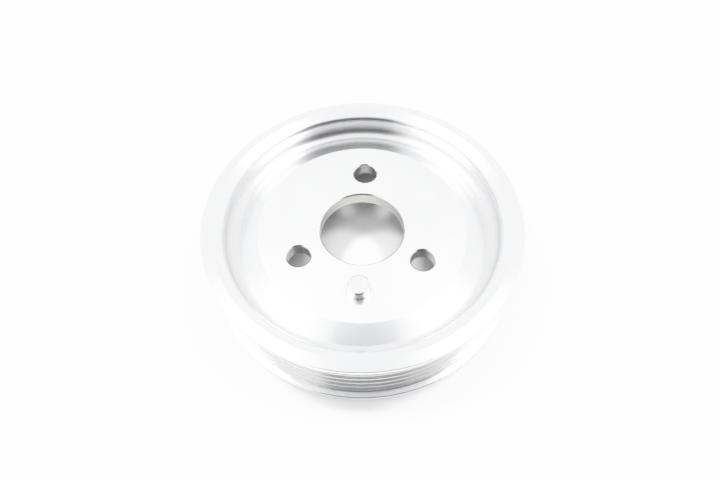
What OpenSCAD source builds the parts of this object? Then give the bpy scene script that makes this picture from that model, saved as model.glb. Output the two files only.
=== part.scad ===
// Ribbed-belt drive pulley with a dished front, a deep rear cup and a locating pin.
// The origin is on the axis at the hub's mounting face, with +Z out of that face.

/* [Belt track] */
// Diameter over the tips of the belt ribs
rib_tip_d = 115; // [114:0.5:116]
// Number of belt grooves
groove_count = 6; // [4:1:6]
// Distance from one groove to the next
groove_pitch = 3.56; // [3.5:0.01:3.6]
// Depth of a groove below the rib tips
groove_depth = 2.8; // [2.2:0.1:3]
// Angle between the two flanks of a groove
groove_angle = 40; // [36:1:42]
// Plain land between the first groove and the front flange
front_land = 0.39; // [0.3:0.01:1]
// Plain land between the last groove and the rear flange
rear_land = 1.45; // [0.5:0.05:2]

/* [Flanges] */
// Diameter of the front flange
front_flange_d = 120; // [119:0.5:124]
// Thickness of the front flange at its edge
front_flange_t = 1.9; // [1.5:0.1:2.5]
// Diameter of the rear flange
rear_flange_d = 119.4; // [118:0.2:124]
// Thickness of the rear flange
rear_flange_t = 3.2; // [2.4:0.1:4]

/* [Front rim and dish] */
// Height of the front flange's outer edge above the hub face
rim_rise = 6; // [5:0.1:7]
// Height of the rim's ridge above the hub face
ridge_rise = 6.6; // [6.2:0.1:7.5]
// Diameter of the ridge where the two rim bevels meet
ridge_d = 111.6; // [109:0.2:114]
// Diameter of the dish at the rim's inner edge
dish_d = 103.4; // [102.8:0.1:104.4]
// Height of the rim's inner edge above the hub face
dish_edge_rise = 4.6; // [4:0.05:5]
// Depth of the ring groove below the hub face
dish_groove_depth = 2.4; // [2:0.05:2.8]

/* [Hub] */
// Diameter of the flat mounting face
hub_face_d = 79.2; // [76:0.2:84]
// Thickness of the web that carries the bore and the holes
web_t = 5.5; // [5:0.1:8]
// Diameter of the centre bore
bore_d = 32; // [25:0.5:35]
// Diameter inside the rear cup
cup_d = 97; // [90:0.5:98]

/* [Holes and pin] */
// Number of bolt holes
bolt_count = 3; // [3, 5]
// Diameter of the circle through the bolt holes and the pin
bolt_circle_d = 53; // [50:0.5:56]
// Diameter of a bolt hole
bolt_hole_d = 9; // [6.6, 9, 10]
// Diameter of the locating pin
pin_d = 8; // [6, 8]
// Height of the locating pin above the hub face
pin_stand = 4; // [2:0.5:6]

/* [Hidden] */
$fn = 128;

// Edge sizes
edge_break = 0.2;
hole_break = 0.4;
fine_edge = 0.15;
rib_edge_r = 0.25;
front_edge_r = 0.25;
rim_edge_r = 2.2;
rear_edge_r = 0.5;
cup_mouth_break = 0.6;
cup_corner_r = 3;
groove_root_r = 0.4;
pin_end_break = 0.3;
arc_steps = 5;
wide_arc_steps = 16;
wide_arc_r = 1;
overrun = 1;

// Inside of the dish: a wall that leans outwards by this much per millimetre, and a ring groove
wall_taper = 0.097;
ring_groove_corner_r = 4;
ring_groove_foot_d = 94.2;

// Stations along the axis, measured from the hub face
front_groove_z = rim_rise - front_flange_t - front_land - groove_pitch / 2;
rear_band_z = front_groove_z + groove_pitch / 2 - groove_count * groove_pitch - rear_land;
rear_z = rear_band_z - rear_flange_t;
front_flange_taper = 0.3;
rear_flange_taper = 0.3;

// Half widths of a groove at its root and at the rib tips
root_half = 0.3;
mouth_half = root_half + groove_depth * tan(groove_angle / 2);

bolt_step = 360 / bolt_count;
first_bolt_angle = 90;
pin_angle = 270;

function unit(v) = v / norm(v);

// An arc of radius r that rounds the corner at b between a and c
function corner_arc(a, b, c, r) =
    let (
        to_a = unit(a - b),
        to_c = unit(c - b),
        half = acos(to_a * to_c) / 2,
        centre = b + unit(to_a + to_c) * r / sin(half),
        first = b + to_a * r / tan(half) - centre,
        last = b + to_c * r / tan(half) - centre,
        start = atan2(first[1], first[0]),
        turn = atan2(last[1], last[0]) - start,
        sweep = turn > 180 ? turn - 360 : turn < -180 ? turn + 360 : turn,
        steps = r > wide_arc_r ? wide_arc_steps : arc_steps
    )
    [for (i = [0:steps]) centre + r * [cos(start + sweep * i / steps), sin(start + sweep * i / steps)]];

// An outline whose corners are [radius, height, corner radius]
function rounded(corners) =
    let (last = len(corners) - 1)
    [for (i = [0:last])
        let (
            a = corners[i == 0 ? last : i - 1],
            b = corners[i],
            c = corners[i == last ? 0 : i + 1]
        )
        each (b[2] > 0 ? corner_arc([a[0], a[1]], [b[0], b[1]], [c[0], c[1]], b[2])
                       : [[b[0], b[1]]])];

// The four corners of one belt groove, from its front flank to its rear flank
function groove_corners(z) =
    let (tip = rib_tip_d / 2, root = tip - groove_depth)
    [
        [tip, z + mouth_half, rib_edge_r],
        [root, z + root_half, groove_root_r],
        [root, z - root_half, groove_root_r],
        [tip, z - mouth_half, rib_edge_r],
    ];

function dish_corners() =
    let (
        floor_z = -dish_groove_depth,
        wall_foot = dish_d / 2 - wall_taper * (dish_edge_rise + dish_groove_depth)
    )
    [
        [bore_d / 2 + hole_break, 0, 0],
        [hub_face_d / 2, 0, fine_edge],
        [ring_groove_foot_d / 2, floor_z, 0],
        [wall_foot, floor_z, ring_groove_corner_r],
        [dish_d / 2, dish_edge_rise, rim_edge_r],
    ];

function front_flange_corners() =
    let (edge_z = rim_rise - front_flange_t)
    [
        [ridge_d / 2, ridge_rise, fine_edge],
        [front_flange_d / 2, rim_rise, front_edge_r],
        [front_flange_d / 2, edge_z, rib_edge_r],
        [rib_tip_d / 2, edge_z - front_flange_taper, 0],
    ];

function rear_corners() =
    [
        [rib_tip_d / 2, rear_band_z, fine_edge],
        [rear_flange_d / 2, rear_band_z - rear_flange_taper, rear_edge_r],
        [rear_flange_d / 2, rear_z, edge_break],
        [cup_d / 2 + cup_mouth_break, rear_z, 0],
        [cup_d / 2, rear_z + cup_mouth_break, 0],
        [cup_d / 2, -web_t, cup_corner_r],
        [bore_d / 2 + edge_break, -web_t, 0],
        [bore_d / 2, -web_t + edge_break, 0],
        [bore_d / 2, -hole_break, 0],
    ];

// Places its children on the bolt circle at one angle
module at_angle(angle) {
    rotate([0, 0, angle])
        translate([bolt_circle_d / 2, 0, 0])
            children();
}

// A hole through the web with both of its edges broken
module web_hole(d) {
    translate([0, 0, -web_t - overrun])
        cylinder(h = web_t + 2 * overrun, d = d);
    translate([0, 0, -hole_break])
        cylinder(h = hole_break + overrun, d1 = d, d2 = d + 2 * (hole_break + overrun));
    translate([0, 0, -web_t - overrun])
        cylinder(h = edge_break + overrun, d1 = d + 2 * (edge_break + overrun), d2 = d);
}

module pulley_body() {
    color([0.88, 0.88, 0.89])
        difference() {
            rotate_extrude()
                polygon(rounded(concat(
                    dish_corners(),
                    front_flange_corners(),
                    [for (i = [0:groove_count - 1])
                        each groove_corners(front_groove_z - i * groove_pitch)],
                    rear_corners())));
            for (i = [0:bolt_count - 1])
                at_angle(first_bolt_angle + i * bolt_step)
                    web_hole(bolt_hole_d);
            at_angle(pin_angle)
                web_hole(pin_d);
        }
}

module locating_pin() {
    color([0.80, 0.80, 0.82])
        at_angle(pin_angle)
            rotate_extrude()
                polygon([
                    [0, -web_t],
                    [pin_d / 2 - pin_end_break, -web_t],
                    [pin_d / 2, -web_t + pin_end_break],
                    [pin_d / 2, pin_stand - pin_end_break],
                    [pin_d / 2 - pin_end_break, pin_stand],
                    [0, pin_stand],
                ]);
}

pulley_body();
locating_pin();
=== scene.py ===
"""Looks of the ribbed belt drive pulley: turned aluminium, a ground steel pin, a pale table and its light."""

import math

import bpy
from mathutils import Matrix, Vector


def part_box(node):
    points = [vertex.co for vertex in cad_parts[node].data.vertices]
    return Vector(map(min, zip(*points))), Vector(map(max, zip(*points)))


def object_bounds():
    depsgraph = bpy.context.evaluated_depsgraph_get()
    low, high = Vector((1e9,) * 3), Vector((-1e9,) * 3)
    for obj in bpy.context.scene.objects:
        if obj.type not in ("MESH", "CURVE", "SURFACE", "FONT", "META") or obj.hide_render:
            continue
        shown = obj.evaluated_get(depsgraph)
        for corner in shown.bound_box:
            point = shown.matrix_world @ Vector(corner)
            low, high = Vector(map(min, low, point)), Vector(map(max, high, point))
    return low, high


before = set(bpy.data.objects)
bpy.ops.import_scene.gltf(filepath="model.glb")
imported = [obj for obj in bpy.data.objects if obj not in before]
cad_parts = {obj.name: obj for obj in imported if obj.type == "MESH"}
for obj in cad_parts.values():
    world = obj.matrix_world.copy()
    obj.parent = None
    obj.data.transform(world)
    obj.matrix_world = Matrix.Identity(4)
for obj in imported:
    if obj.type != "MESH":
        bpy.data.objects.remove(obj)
cad_low, cad_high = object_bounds()

MM = 0.001

# Camera: where it stands, what it looks at on the hub face's plane, its roll, and its lens and sensor
CAMERA_AT = Vector((9.3, -133.8, 200.1)) * MM
CAMERA_AIM = Vector((-0.55, -5.38, 0.0)) * MM
CAMERA_ROLL = math.radians(-1.94)
LENS = 31.7
SENSOR_WIDTH = 36.0
CLIP_START = 0.01

# Surroundings: white above and behind, and a dim room on the camera's side, a little to the right
TENT_COLOUR = (1.47, 1.475, 1.48)
ROOM_COLOUR = (0.12, 0.12, 0.125)
ROOM_TOP = math.radians(63.0)
ROOM_BEARING = math.radians(11.0)
ROOM_HALF_WIDTH = math.radians(36.0)
ROOM_SIDE_EDGE = math.radians(11.0)
ROOM_EDGE = math.radians(6.0)

# Two small lamps high on the left and the right, and a soft fill over the front that metal doesn't mirror
LAMP_DISTANCE = 0.7
LAMP_DIAMETER = 0.16
LAMP_TILT_SIDE = math.radians(22.7)
LAMP_TILT_BACK = math.radians(7.0)
LAMP_IRRADIANCE_LEFT = 2.3
LAMP_IRRADIANCE_RIGHT = 1.9
FILL_DIAMETER = 0.35
FILL_TILT_FRONT = math.radians(22.0)
FILL_IRRADIANCE = 1.5

# The dark camera, as the metal mirrors it
CAMERA_BODY_SIZE = (0.14, 0.076)
CAMERA_BODY_GAP = 0.004
CAMERA_BODY_COLOUR = (0.12, 0.12, 0.125)
CAMERA_BODY_ROUGHNESS = 0.5

# The table: its size, its two tones and the scale of their pattern
TABLE_HALF_SIDE = 2.0
TABLE_LIGHT = (0.80, 0.80, 0.80)
TABLE_DARK = (0.78, 0.78, 0.78)
TABLE_ROUGHNESS = 0.6
TABLE_PATTERN_SCALE = 14.0

# The film's response: a scene value and what it shows as. WHITE_LEVEL shows as 1.
WHITE_LEVEL = 3.0
RESPONSE = (
    (0.2, 0.19),
    (0.4, 0.35),
    (0.7, 0.545),
    (1.0, 0.72),
    (1.2, 0.83),
    (1.4, 0.93),
    (1.55, 0.965),
    (1.8, 0.982),
    (2.2, 0.992),
)

# Finishes: light tone, dark tone, roughness, anisotropy, and the pitch and the depth of the tool's rings
LIGHT_METAL = (0.93, 0.935, 0.945)
DARK_METAL = (0.90, 0.905, 0.915)
PULLEY_FINISHES = {
    "turned_aluminium": (LIGHT_METAL, DARK_METAL, 0.20, 0.80, 0.12 * MM, 0.0004 * MM),
    "faced_aluminium": ((0.90, 0.905, 0.91), (0.88, 0.885, 0.89), 0.25, 0.30, 0.10 * MM, 0.0003 * MM),
    "bored_aluminium": ((0.74, 0.74, 0.71), (0.66, 0.66, 0.63), 0.36, 0.40, 0.15 * MM, 0.004 * MM),
    "coned_aluminium": (LIGHT_METAL, DARK_METAL, 0.19, 0.80, 0.12 * MM, 0.0004 * MM),
    # Darker than the turned metal: partly the metal's own tone, partly painted shade for the belt grooves'
    # hollows
    "track_aluminium_painted_shade": ((0.84, 0.84, 0.845), (0.81, 0.81, 0.815), 0.26, 0.90, 0.12 * MM, 0.0004 * MM),
    # Darker than the turned metal: partly the metal's own tone, partly painted shade for the ring groove and
    # the wall's foot
    "grooved_aluminium_painted_shade": ((0.85, 0.85, 0.855), (0.82, 0.82, 0.825), 0.22, 0.80, 0.12 * MM, 0.0004 * MM),
}
PIN_FINISH = ((0.90, 0.90, 0.91), (0.87, 0.87, 0.88), 0.19, 0.30, 0.06 * MM, 0.0004 * MM)

# Feed bands and smudges change the roughness. A feed band is about this many ring pitches wide.
FEED_BAND_RINGS = 9
SMUDGE_SCALE = 45.0
SMUDGE_RANGE = (0.92, 1.12)
FEED_BAND_RANGE = (0.94, 1.06)

# A quarter turn of the shader's tangent, so that the shine spreads across the rings
RING_TURN = 0.25

# Limits of the pulley's regions, from its drawing. A face counts as a hole's wall below this slope.
HUB_FACE_RADIUS = 39.6 * MM
HUB_FACE_DEPTH = 0.1 * MM
HUB_CONE_RADIUS = 47.1 * MM
DISH_RADIUS = 51.9 * MM
GROOVE_DEPTH = 2.5 * MM
TRACK_RADIUS = 54.0 * MM
TRACK_TOP = 5.7 * MM
TRACK_FOOT = -18.0 * MM
HOLE_WALL_SLOPE = 0.2


def add_node(tree, kind, inputs=None, **settings):
    """A new shader node. An input's value is a number, a colour or another node's output."""
    made = tree.nodes.new(kind)
    for name, value in settings.items():
        setattr(made, name, value)
    for name, value in (inputs or {}).items():
        fill_socket(tree, made.inputs[name], value)
    return made


def fill_socket(tree, socket, value):
    """Links another node's output to a socket, or sets a plain value there."""
    if isinstance(value, bpy.types.NodeSocket):
        tree.links.new(value, socket)
    else:
        socket.default_value = value


def new_material(name):
    """An empty material with its node tree and its Principled shader."""
    material = bpy.data.materials.new(name)
    material.use_nodes = True
    tree = material.node_tree
    return material, tree, tree.nodes["Principled BSDF"]


def lathe_coordinates(tree, axis_point):
    """A place, and (distance from a vertical axis, height, 0), where a texture makes rings."""
    place = add_node(tree, "ShaderNodeTexCoord").outputs["Object"]
    offset = add_node(tree, "ShaderNodeVectorMath", {0: place, 1: axis_point}, operation="SUBTRACT")
    flat = add_node(tree, "ShaderNodeVectorMath", {0: offset.outputs[0], 1: (1, 1, 0)}, operation="MULTIPLY")
    radius = add_node(tree, "ShaderNodeVectorMath", {0: flat.outputs[0]}, operation="LENGTH")
    height = add_node(tree, "ShaderNodeSeparateXYZ", {0: place})
    rings = add_node(
        tree,
        "ShaderNodeCombineXYZ",
        {"X": radius.outputs["Value"], "Y": height.outputs["Z"]},
    )
    return place, rings.outputs[0]


def noise(tree, vector, scale, detail=2.0):
    """A noise's value between 0 and 1."""
    inputs = {"Vector": vector, "Scale": scale, "Detail": detail}
    return add_node(tree, "ShaderNodeTexNoise", inputs).outputs["Fac"]


def spread(tree, value, low, high):
    """Maps a value from the middle of a noise's range to low..high."""
    inputs = {"Value": value, "From Min": 0.3, "From Max": 0.7, "To Min": low, "To Max": high}
    return add_node(tree, "ShaderNodeMapRange", inputs).outputs[0]


def fade(tree, value, start, end):
    """0 at the start, 1 at the end, and a smooth step between them."""
    inputs = {"Value": value, "From Min": start, "From Max": end}
    return add_node(tree, "ShaderNodeMapRange", inputs, interpolation_type="SMOOTHSTEP").outputs[0]


def mix_colour(tree, factor, first, second):
    """A blend of two colours. Its sockets are found by number, because their names repeat."""
    made = add_node(tree, "ShaderNodeMix", data_type="RGBA")
    for index, value in ((0, factor), (6, (*first, 1)), (7, (*second, 1))):
        fill_socket(tree, made.inputs[index], value)
    return made.outputs[2]


def turned_metal(name, axis_point, finish):
    """Bare metal with fine concentric tool marks, faint bands from the tool's feed and a few smudges."""
    light, dark, roughness, anisotropy, ring_pitch, ring_depth = finish
    material, tree, shader = new_material(name)
    place, rings = lathe_coordinates(tree, axis_point)
    fine = noise(tree, rings, 1 / ring_pitch)
    bands = noise(tree, rings, 1 / (FEED_BAND_RINGS * ring_pitch))
    smudges = noise(tree, place, SMUDGE_SCALE, detail=4.0)
    tone = spread(tree, bands, 0.0, 1.0)
    tree.links.new(mix_colour(tree, tone, dark, light), shader.inputs["Base Color"])
    smudge_low, smudge_high = SMUDGE_RANGE
    smooth = spread(tree, smudges, roughness * smudge_low, roughness * smudge_high)
    banding = spread(tree, bands, *FEED_BAND_RANGE)
    banded = add_node(tree, "ShaderNodeMath", {0: smooth, 1: banding}, operation="MULTIPLY")
    tree.links.new(banded.outputs[0], shader.inputs["Roughness"])
    marks = add_node(tree, "ShaderNodeBump", {"Height": fine, "Strength": 1.0, "Distance": ring_depth})
    tree.links.new(marks.outputs[0], shader.inputs["Normal"])
    shader.inputs["Metallic"].default_value = 1.0
    shader.inputs["Anisotropic"].default_value = anisotropy
    shader.inputs["Anisotropic Rotation"].default_value = RING_TURN
    return material


def finish_at(middle, normal):
    """The finish on one face of the pulley.

    Bored is the bore and the bolt holes, faced the hub face, coned the hub's bevel, grooved the ring groove and
    the wall's foot, track the belt grooves and the front flange's outer wall, and turned all the rest. The
    grooved and the track finishes are darker than the turned metal, partly as painted shade in those hollows.
    """
    radius = math.hypot(middle.x, middle.y)
    on_front = middle.z > -GROOVE_DEPTH
    if radius < HUB_FACE_RADIUS and abs(normal.z) < HOLE_WALL_SLOPE:
        return "bored_aluminium"
    if radius < HUB_FACE_RADIUS and middle.z > -HUB_FACE_DEPTH:
        return "faced_aluminium"
    if radius < HUB_CONE_RADIUS and on_front and middle.z < 0:
        return "coned_aluminium"
    if HUB_CONE_RADIUS < radius < DISH_RADIUS and on_front:
        return "grooved_aluminium_painted_shade"
    if radius > TRACK_RADIUS and TRACK_FOOT < middle.z < TRACK_TOP:
        return "track_aluminium_painted_shade"
    return "turned_aluminium"


def paint_pulley(body):
    """Every region of the pulley in its own finish, with rings round the pulley's axis."""
    axis_point = (0.0, 0.0, 0.0)
    slots = list(PULLEY_FINISHES)
    body.data.materials.clear()
    for name, finish in PULLEY_FINISHES.items():
        body.data.materials.append(turned_metal(name, axis_point, finish))
    for polygon in body.data.polygons:
        polygon.material_index = slots.index(finish_at(polygon.center, polygon.normal))


def paint_pin(pin):
    """Ground and polished steel, with rings round the pin's axis."""
    low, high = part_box("locating_pin")
    axis_point = ((low.x + high.x) / 2, (low.y + high.y) / 2, 0.0)
    pin.data.materials.clear()
    pin.data.materials.append(turned_metal("ground_steel", axis_point, PIN_FINISH))


def flat_sheet(name, half_width, half_height, z):
    """A flat rectangle round the Z axis."""
    corners = [(-1, -1), (1, -1), (1, 1), (-1, 1)]
    mesh = bpy.data.meshes.new(name)
    mesh.from_pydata([(x * half_width, y * half_height, z) for x, y in corners], [], [(0, 1, 2, 3)])
    sheet = bpy.data.objects.new(name, mesh)
    bpy.context.scene.collection.objects.link(sheet)
    return sheet


def make_table(height):
    """A plain pale table top that the pulley lies on."""
    table = flat_sheet("table", TABLE_HALF_SIDE, TABLE_HALF_SIDE, height)
    material, tree, shader = new_material("pale_laminate")
    place = add_node(tree, "ShaderNodeTexCoord").outputs["Object"]
    tone = spread(tree, noise(tree, place, TABLE_PATTERN_SCALE, detail=5.0), 0.0, 1.0)
    tree.links.new(mix_colour(tree, tone, TABLE_DARK, TABLE_LIGHT), shader.inputs["Base Color"])
    shader.inputs["Roughness"].default_value = TABLE_ROUGHNESS
    table.data.materials.append(material)


def make_camera_body(camera_place):
    """The dark camera that the polished metal mirrors. Only reflections show it."""
    width, height = CAMERA_BODY_SIZE
    body = flat_sheet("camera_body", width / 2, height / 2, CAMERA_BODY_GAP)
    body.matrix_world = camera_place
    material, _, shader = new_material("camera_black")
    shader.inputs["Base Color"].default_value = (*CAMERA_BODY_COLOUR, 1)
    shader.inputs["Roughness"].default_value = CAMERA_BODY_ROUGHNESS
    body.data.materials.append(material)
    body.visible_camera = False
    body.visible_diffuse = False
    body.visible_shadow = False


def make_camera():
    """The camera at the photographer's place."""
    data = bpy.data.cameras.new("camera")
    data.lens = LENS
    data.sensor_width = SENSOR_WIDTH
    data.clip_start = CLIP_START
    camera = bpy.data.objects.new("camera", data)
    bpy.context.scene.collection.objects.link(camera)
    aimed = (CAMERA_AIM - CAMERA_AT).to_track_quat("-Z", "Y").to_matrix()
    turn = aimed @ Matrix.Rotation(CAMERA_ROLL, 3, "Z")
    camera.matrix_world = Matrix.Translation(CAMERA_AT) @ turn.to_4x4()
    bpy.context.scene.camera = camera
    return camera.matrix_world.copy()


def make_lamp(name, tilt_side, tilt_back, diameter, irradiance):
    """A round lamp high above the table, aimed at the pulley."""
    direction = Vector((math.tan(tilt_side), math.tan(tilt_back), 1.0)).normalized()
    data = bpy.data.lights.new(name, "AREA")
    data.shape = "DISK"
    data.size = diameter
    data.energy = irradiance * math.pi * LAMP_DISTANCE**2
    lamp = bpy.data.objects.new(name, data)
    bpy.context.scene.collection.objects.link(lamp)
    lamp.location = direction * LAMP_DISTANCE
    lamp.rotation_mode = "QUATERNION"
    lamp.rotation_quaternion = (-direction).to_track_quat("-Z", "Y")
    return lamp


def make_tent():
    """White all round, except for the dim room on the camera's side."""
    world = bpy.data.worlds.new("tent")
    world.use_nodes = True
    tree = world.node_tree
    direction = add_node(tree, "ShaderNodeTexCoord").outputs["Generated"]
    height = add_node(tree, "ShaderNodeSeparateXYZ", {0: direction}).outputs["Z"]
    level = add_node(tree, "ShaderNodeVectorMath", {0: direction, 1: (1, 1, 0)}, operation="MULTIPLY")
    bearing = add_node(tree, "ShaderNodeVectorMath", {0: level.outputs[0]}, operation="NORMALIZE")
    away = (-math.sin(ROOM_BEARING), math.cos(ROOM_BEARING), 0.0)
    turned_away = add_node(
        tree,
        "ShaderNodeVectorMath",
        {0: bearing.outputs[0], 1: away},
        operation="DOT_PRODUCT",
    )
    below_top = fade(tree, height, math.sin(ROOM_TOP + ROOM_EDGE), math.sin(ROOM_TOP - ROOM_EDGE))
    side_start = -math.cos(ROOM_HALF_WIDTH + ROOM_SIDE_EDGE)
    side_end = -math.cos(ROOM_HALF_WIDTH - ROOM_SIDE_EDGE)
    inside = fade(tree, turned_away.outputs["Value"], side_start, side_end)
    in_room = add_node(tree, "ShaderNodeMath", {0: below_top, 1: inside}, operation="MULTIPLY")
    colour = mix_colour(tree, in_room.outputs[0], TENT_COLOUR, ROOM_COLOUR)
    tree.links.new(colour, tree.nodes["Background"].inputs["Color"])
    bpy.context.scene.world = world


def set_film():
    """A plain response with a soft shoulder, so that the white surroundings keep their last tones."""
    view = bpy.context.scene.view_settings
    view.view_transform = "Standard"
    view.use_curve_mapping = True
    mapping = view.curve_mapping
    mapping.white_level = (WHITE_LEVEL, WHITE_LEVEL, WHITE_LEVEL)
    all_channels = mapping.curves[3]
    for scene_value, shown in RESPONSE:
        all_channels.points.new(scene_value / WHITE_LEVEL, shown)
    mapping.update()


set_film()
make_camera_body(make_camera())
make_tent()
make_lamp("lamp_left", -LAMP_TILT_SIDE, LAMP_TILT_BACK, LAMP_DIAMETER, LAMP_IRRADIANCE_LEFT)
make_lamp("lamp_right", LAMP_TILT_SIDE, LAMP_TILT_BACK, LAMP_DIAMETER, LAMP_IRRADIANCE_RIGHT)
fill = make_lamp("lamp_fill", 0.0, -FILL_TILT_FRONT, FILL_DIAMETER, FILL_IRRADIANCE)
fill.visible_glossy = False
make_table(cad_low.z)
paint_pulley(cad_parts["pulley_body"])
paint_pin(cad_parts["locating_pin"])
